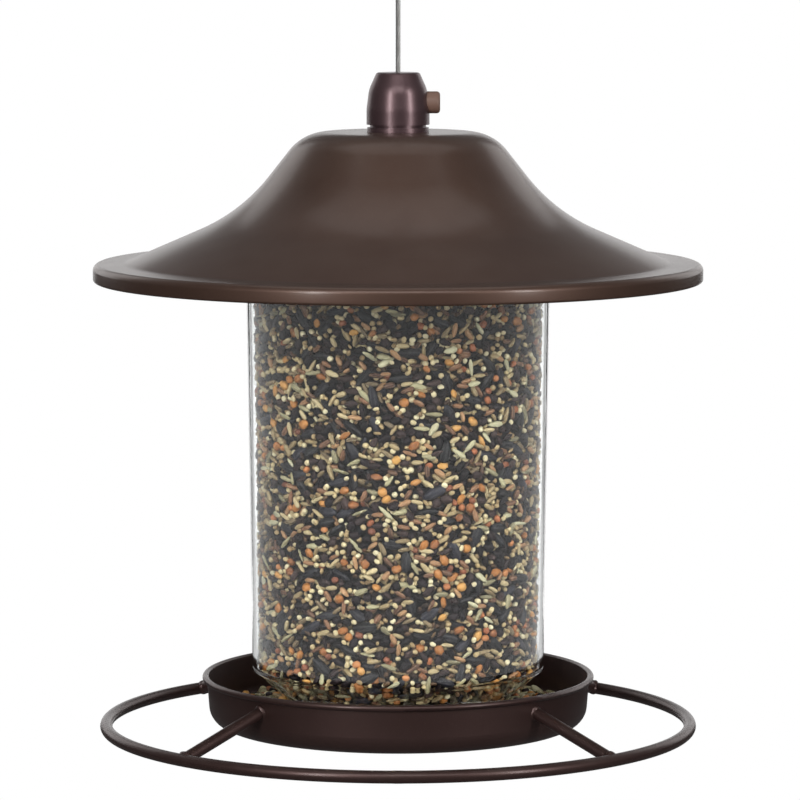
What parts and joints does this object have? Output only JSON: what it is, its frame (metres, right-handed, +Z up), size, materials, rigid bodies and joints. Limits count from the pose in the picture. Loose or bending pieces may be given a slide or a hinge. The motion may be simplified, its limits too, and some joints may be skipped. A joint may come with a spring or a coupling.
{
  "type": "hanging bird feeder",
  "caption": "Hanging seed feeder: bell roof, clear hopper reservoir, round tray, ring perch and a push-button locking cap on a steel cable.",
  "frame": {"origin": "centre of the hanging eyelet's bore, in the cable's loop", "axes": "+Z up along the cable, +Y along the eyelet's bore, +X towards the lock button"},
  "size_m": [0.25, 0.25, 0.3982],
  "materials": {
    "bronze_roof": "satin bronze-brown powder coat on spun steel",
    "bronze_cap": "satin plum-bronze coat on a casting",
    "bronze_tray": "satin dark bronze coat on pressed steel",
    "bronze_perch": "satin dark bronze coat on steel bar",
    "button_plastic": "moulded copper-brown plastic",
    "brown_plastic": "moulded dark brown plastic",
    "clear_plastic": null,
    "seed_mix": "mixed bird seed: sunflower, millet, milo, grain and cracked corn",
    "steel_cable": "stranded galvanised steel cable",
    "crimp_alloy": "pressed aluminium sleeve",
    "zinc_steel": "zinc plated steel",
    "spring_steel": "bright spring wire"
  },
  "bodies": {
    "hanging_frame": {"hanging_eyelet": "zinc_steel", "cable": "steel_cable", "crimp_sleeve": "crimp_alloy", "cable_coupling": "zinc_steel", "centre_rod": "zinc_steel", "tray_pan": "bronze_tray", "tray_nut": "zinc_steel", "tray_washer": "zinc_steel", "hub_washer": "zinc_steel", "hub_nut": "zinc_steel", "seed_spreader": "brown_plastic", "reservoir": "clear_plastic", "perch_ring": "bronze_perch", "perch_spoke_front_left": "bronze_perch", "perch_spoke_front_right": "bronze_perch", "perch_spoke_back_left": "bronze_perch", "perch_spoke_back_right": "bronze_perch", "seed_fill": "seed_mix", "tray_seed": "seed_mix"},
    "roof_collar": {"roof_bush": "bronze_cap", "roof_retaining_clip": "zinc_steel"},
    "roof": {"roof": "bronze_roof"},
    "cap": {"cap_body": "bronze_cap", "button_spring": "spring_steel"},
    "button": {"lock_button": "button_plastic"}
  },
  "joints": [
    {"name": "roof_lift", "type": "slide", "parent": "hanging_frame", "child": "roof_collar", "axis": [0, 0, 1], "range_m": [0, 0.05]},
    {"name": "roof_turn", "type": "hinge", "parent": "roof_collar", "child": "roof", "pos_m": [0, 0, -0.1371], "axis": [0, 0, 1], "continuous": true},
    {"name": "cap_lift", "type": "slide", "parent": "roof_collar", "child": "cap", "axis": [0, 0, 1], "range_m": [0, 0.023]},
    {"name": "button_press", "type": "slide", "parent": "cap", "child": "button", "axis": [-1, 0, 0], "range_m": [0, 0.0025], "stiffness_N_per_m": 1500, "springref_m": -0.002, "deforming": ["button_spring"]}
  ]
}
